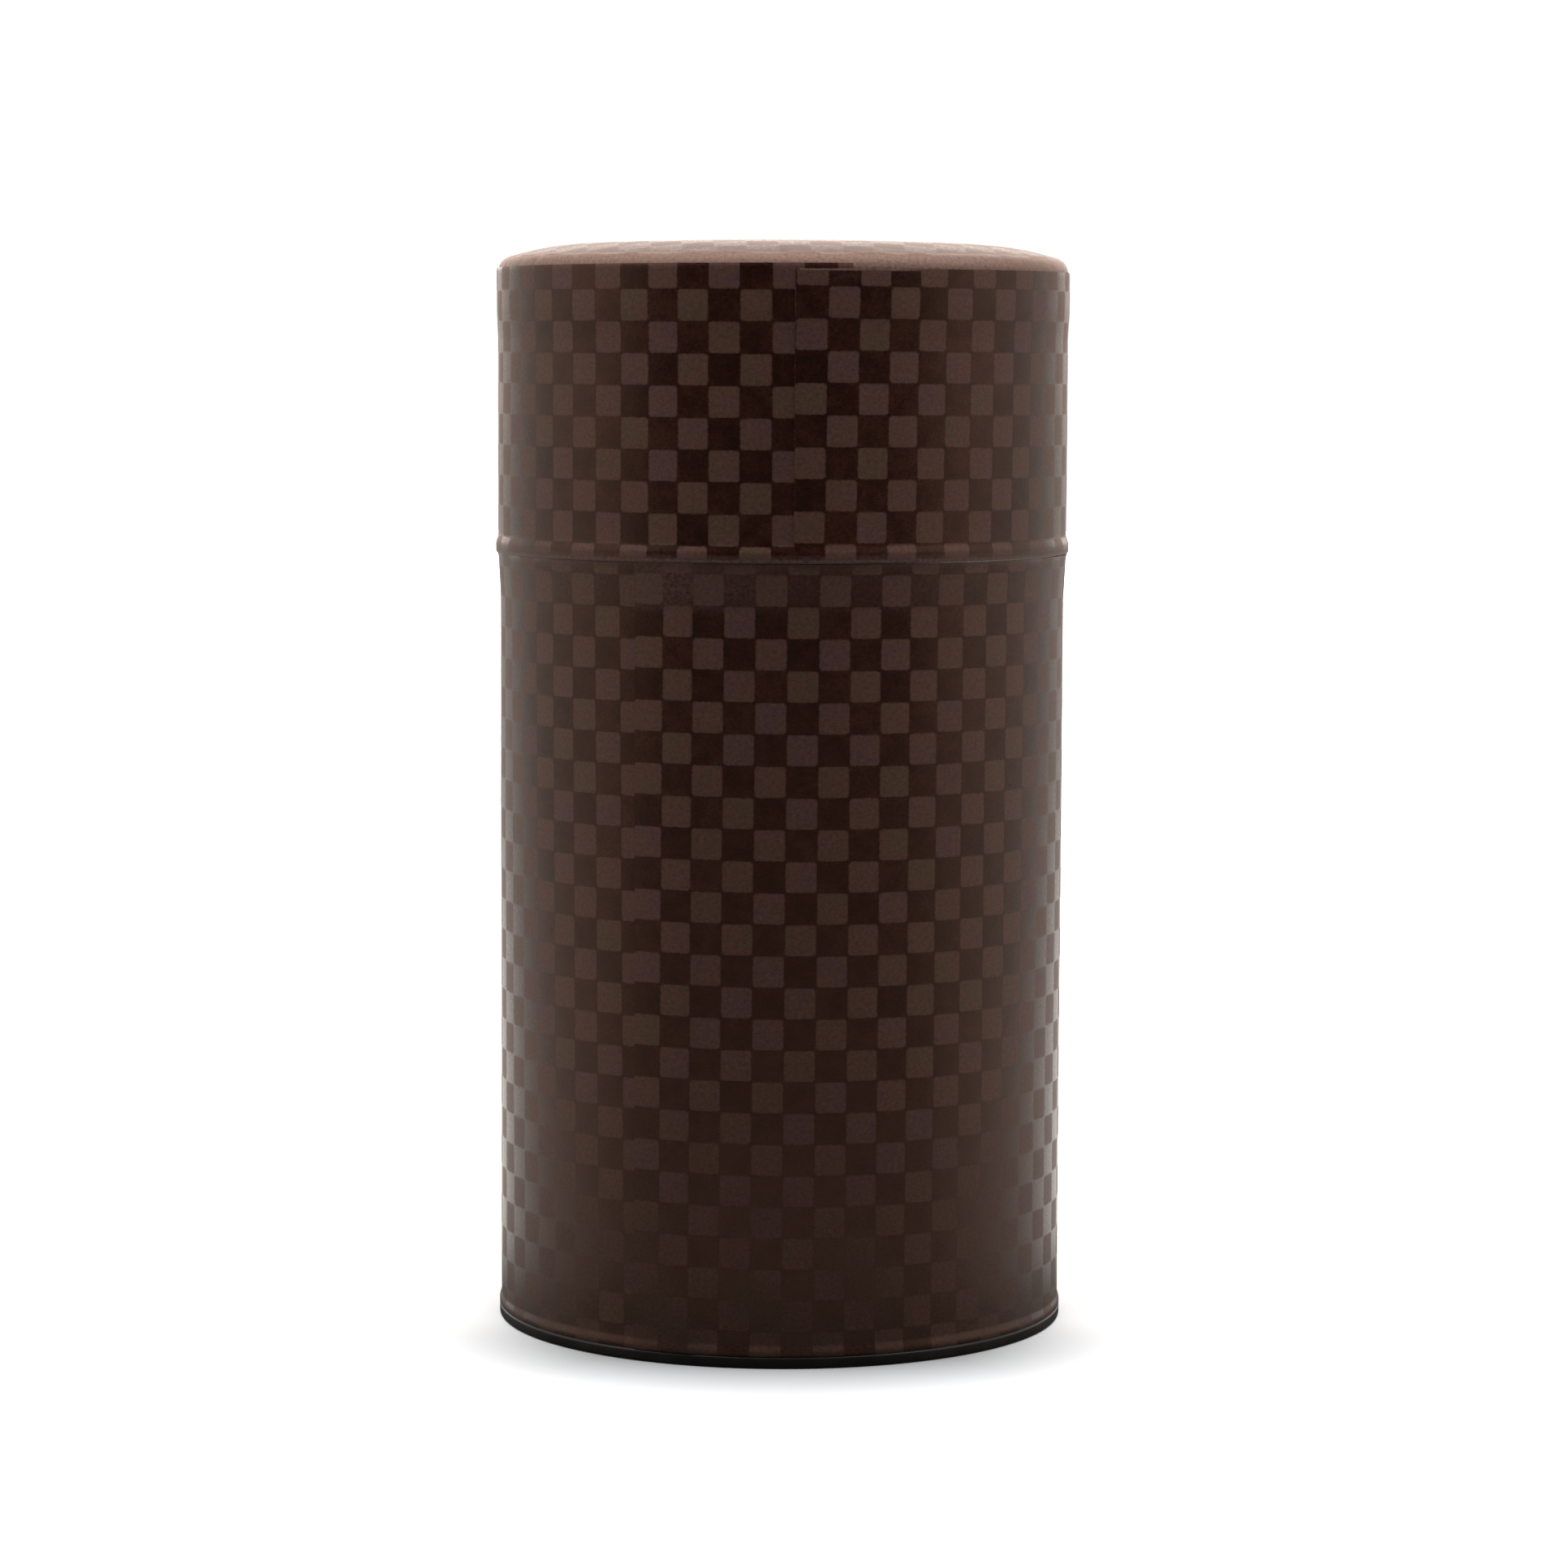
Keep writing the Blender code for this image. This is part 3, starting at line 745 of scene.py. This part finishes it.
def inner_pan(low, high):
    """Inner lid: a pressed pan with a stiffening ring, hung from its rim, holed for the rivet."""
    rim, foot, top = high[0], low[1], high[1]
    wall, hole = rim - 0.95, 1.4
    ring = [(21.2, 0.0), (21.7, 0.1), (22.3, 0.35), (24.2, 0.35), (24.8, 0.1), (25.3, 0.0)]
    under = [(hole, foot)] + [(radius, foot + rise) for radius, rise in ring]
    under += arc((wall - 1.0, foot + 1.0), 1.0, 270, 360, 6)
    lip = arc((wall + 0.25, top - 0.55), 0.25, 180, 90, 4)
    lip += arc((rim - 0.15, top - 0.15), 0.15, -90, 90, 6)
    fall = arc((wall, top - 0.3), 0.3, 90, 180, 4)
    over = arc((wall - 1.3, foot + 1.3), 1.0, 360, 270, 6)
    over += [(radius, foot + 0.3 + rise) for radius, rise in reversed(ring)] + [(hole, foot + 0.3)]
    return under + lip + fall + over


def knob(low, high):
    """Mushroom knob with a round edge, a turned line on its crown, and a bore for its rivet."""
    wide, foot, top = high[0], low[1], high[1]
    edge = (wide - 1.5, foot + 5.7)
    rise = top - edge[1]
    crown_arc = (edge[0] ** 2 + rise**2 - 1.5**2) / (2 * (rise - 1.5))
    meet = math.degrees(math.atan2(edge[1] - (top - crown_arc), edge[0]))
    stem = [(1.5, foot), (4.15, foot), (4.3, foot + 0.08)] + arc((4.3, foot + 0.78), 0.7, 270, 180, 6)
    neck_in = [(3.6, foot + 3.8)] + arc((4.0, foot + 3.8), 0.4, 180, 90, 4)
    crown = []
    for radius, height in arc((0, top - crown_arc), crown_arc, meet, 90, 24)[1:]:
        crown.append((radius, height - 0.08 * math.exp(-(((radius - 3.6) / 0.22) ** 2))))
    bore = [(0, foot + 4.8), (1.4, foot + 4.8), (1.4, foot + 0.1)]
    return stem + neck_in + arc(edge, 1.5, -90, meet, 14) + crown + bore


def rivet(low, high):
    """Rivet: a low round head under the pan, and its shank."""
    wide, foot = high[0], low[1]
    head_high, shank = 0.8, 1.3
    head_arc = (wide**2 + head_high**2) / (2 * head_high)
    reach = math.degrees(math.asin((wide - 0.05) / head_arc))
    head = arc((0, foot + head_arc), head_arc, -90, reach - 90, 8)
    edge = [(wide, foot + 0.74), (wide - 0.06, foot + head_high)]
    return head + edge + [(shank, foot + head_high), (shank, high[1]), (0, high[1])]


def tin_pieces(tin, lacquer, plate):
    """Every tin piece, spun to the sizes of the node that it stands in for."""
    rows = [
        ("body_can", body_can, "body_tube", "body", "tinplate", tin, 180),
        ("foot_rim", foot_rim, "base_plate", "body", "black_lacquered_tin", lacquer, 240),
        ("neck", neck, "neck_sleeve", "body", "tinplate", tin, 180),
        ("lid_can", lid_can, "lid_tube", "lid", "tinplate", tin, 180),
        ("lid_plate", lid_plate, "lid_top_plate", "lid", "tinplate", tin, 180),
        ("inner_pan", inner_pan, "inner_lid", "inner_lid", "tinplate", tin, 180),
        ("knob", knob, "inner_lid_knob", "inner_lid", "plated_knob", plate, 96),
        ("rivet", rivet, "knob_rivet", "inner_lid", "tinplate", tin, 48),
    ]
    for name, outline, stands_for, body, slot, metal, steps in rows:
        low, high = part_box(stands_for)
        reach = high.x / MM
        piece = spun(name, outline((reach, low.z / MM), (reach, high.z / MM)), steps)
        if name == "neck":
            raise_lap(piece, 148.0, 60.0, reach - 0.1)
        piece.data.materials.append(metal)
        choose(piece)
        bpy.ops.object.shade_smooth_by_angle(angle=math.radians(32))
        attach(piece, body)
        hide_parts(stands_for)


# ---------------------------------------------------------------- studio


def camera():
    """A long lens at about the height of the lid, looking a little down."""
    data = bpy.data.cameras.new("camera")
    data.sensor_width = 36.0
    data.lens = 105.11
    data.clip_start = 0.01
    view = bpy.data.objects.new("camera", data)
    bpy.context.scene.collection.objects.link(view)
    down, aside, roll = 0.0933, 0.0006, 0.0039
    turn = (
        Matrix.Rotation(-aside, 4, "Z")
        @ Matrix.Rotation(math.pi / 2 - down, 4, "X")
        @ Matrix.Rotation(roll, 4, "Z")
    )
    view.matrix_world = Matrix.Translation((0.0, -0.6615, 0.1391)) @ turn
    bpy.context.scene.camera = view


def from_front_to_back(tree, axes):
    """0 straight in front of the caddy and 1 straight behind it."""
    return span(tree, axes["Y"], -1.0, 1.0, 0.0, 1.0)


def room():
    """A white tent behind, beside and over the caddy; the side that it is seen from is dark.

    The room is seen itself as plain white, and mirrored and felt as the tent.
    """
    world = bpy.data.worlds.new("room")
    bpy.context.scene.world = world
    world.use_nodes = True
    tree = world.node_tree
    way = node(tree, "ShaderNodeTexCoord").outputs["Generated"]
    axes = node(tree, "ShaderNodeSeparateXYZ", {0: way}).outputs
    back = from_front_to_back(tree, axes)
    walls = ramp(
        tree, back,
        [(0.0, (0.035, 0.035, 0.033, 1)), (0.21, (0.045, 0.045, 0.042, 1)),
         (0.30, (0.70, 0.69, 0.65, 1)), (0.36, (0.86, 0.83, 0.78, 1)),
         (0.5, (0.88, 0.85, 0.79, 1)), (0.67, (0.72, 0.70, 0.65, 1)),
         (0.82, (0.82, 0.80, 0.75, 1)), (1.0, (1.12, 0.96, 0.85, 1))],
    )
    # The ceiling is dimmer than the walls, most of all straight over the caddy and in front.
    aside = maths(tree, "ABSOLUTE", axes["X"])
    wing = span(tree, aside, 0.5, 0.9, 0.22, 0.9)
    overhead = span(tree, back, 0.55, 0.75, wing, 1.0)
    ceiling = span(tree, axes["Z"], 0.12, 0.5, 1.0, overhead)
    # The wall straight behind, just over the horizon, is what the lid's top mirrors.
    behind = span(tree, axes["Y"], 0.75, 0.95, 1.0, 4.0)
    above = span(tree, axes["Z"], 0.02, 0.08, 1.0, behind)
    lit = scaled(tree, walls, maths(tree, "MULTIPLY", ceiling, above))
    seen = node(tree, "ShaderNodeLightPath").outputs["Is Camera Ray"]
    mixed = blend(tree, seen, lit, (1.02, 1.02, 1.02, 1))
    tree.links.new(mixed, tree.nodes["Background"].inputs["Color"])


def soft_box():
    """A wide soft box close above the caddy, so the light falls off towards its foot."""
    data = bpy.data.lights.new("soft_box", "AREA")
    data.shape = "RECTANGLE"
    data.size, data.size_y = 1.1, 0.35
    data.energy = 2.7
    lamp = bpy.data.objects.new("soft_box", data)
    lamp.location = (0.0, -0.13, 0.45)
    lamp.visible_camera = False
    bpy.context.scene.collection.objects.link(lamp)


def card_glow(tree, away, back, rays):
    """Painted light: the card glows with what the caddy is lit by and mirrors, brighter close by and
    behind than far off or in front, with a painted contact shadow round the caddy's foot.
    """
    tone = ramp(
        tree, back,
        [(0.2, (0.46, 0.45, 0.43, 1)), (0.33, (0.78, 0.76, 0.72, 1)),
         (0.5, (0.88, 0.86, 0.81, 1)), (0.67, (1.05, 1.02, 0.96, 1)),
         (0.82, (1.33, 1.29, 1.21, 1)), (0.92, (1.75, 1.7, 1.6, 1))],
    )
    far_level = span(tree, back, 0.2, 0.33, 0.25, 0.38)
    fall = span(tree, away, 0.2, 1.0, 1.0, far_level)
    # Painted contact shadow: the glow is dimmed close round the caddy's foot.
    painted_contact_shadow = span(tree, away, 0.042, 0.09, 0.12, 1.0)
    # Little of it is felt as soft light, or the caddy's foot would be too bright.
    felt = maths(tree, "MULTIPLY_ADD", rays["Is Diffuse Ray"], -0.88, 1.0)
    level = maths(tree, "MULTIPLY", fall, felt)
    strength = maths(tree, "MULTIPLY", level, painted_contact_shadow)
    return node(tree, "ShaderNodeEmission", {"Color": tone, "Strength": strength}).outputs[0]


def card_seen(tree, away, back):
    """What is seen of the card itself: white, with the caddy's own shadow, darkest at its foot; a
    painted shadow deepens it close round the foot in front, and painted gains brighten the card far
    off and to the sides.
    """
    # Painted light: the card's colour is raised with distance and more to the sides, and lowered close
    # round the foot in front, which paints part of the shadow.
    bright = span(tree, away, 0.06, 0.8, 1.2, 3.4)
    beside = span(tree, back, 0.1, 0.5, 0.94, 1.26)
    under = span(tree, back, 0.1, 0.4, 0.5, 1.14)
    painted_foot_shadow = span(tree, away, 0.041, 0.056, under, beside)
    clear = scaled(tree, (0.98, 1.0, 1.03), maths(tree, "MULTIPLY", bright, painted_foot_shadow))
    return node(tree, "ShaderNodeBsdfDiffuse", {"Color": clear}).outputs[0]


def white_card():
    """White card: seen white with the caddy's shadow, partly painted, and a soft uneven glow of
    painted light where it lights the caddy.
    """
    material, tree, shader = blank("white_card")
    tree.nodes.remove(shader)
    place = node(tree, "ShaderNodeTexCoord").outputs["Object"]
    away = vectors(tree, "LENGTH", place, output="Value")
    axes = node(tree, "ShaderNodeSeparateXYZ", {0: vectors(tree, "NORMALIZE", place)}).outputs
    back = from_front_to_back(tree, axes)
    rays = node(tree, "ShaderNodeLightPath").outputs
    glow = card_glow(tree, away, back, rays)
    seen = card_seen(tree, away, back)
    shown = node(tree, "ShaderNodeMixShader", {0: rays["Is Camera Ray"], 1: glow, 2: seen})
    tree.links.new(shown.outputs[0], tree.nodes["Material Output"].inputs["Surface"])
    return material


def floor():
    """A sheet of white card under the caddy."""
    deselect_all()
    bpy.ops.mesh.primitive_grid_add(x_subdivisions=2, y_subdivisions=2, size=1)
    card = bpy.context.object
    card.name = "floor"
    wide, near, far = 1.6, -1.3, 3.0
    for vertex in card.data.vertices:
        vertex.co = (vertex.co.x * 2 * wide, near + (vertex.co.y + 0.5) * (far - near), 0.0)
    card.data.materials.append(white_card())


washi, core = printed_washi(), bare_washi()
body_wrap(washi, core)
lid_strip(washi, core)
lid_cap_paper(washi, core)
tin_pieces(tinplate(), black_lacquered_tin(), plated_knob())
camera()
room()
soft_box()
floor()
bpy.context.scene.view_settings.view_transform = "Standard"
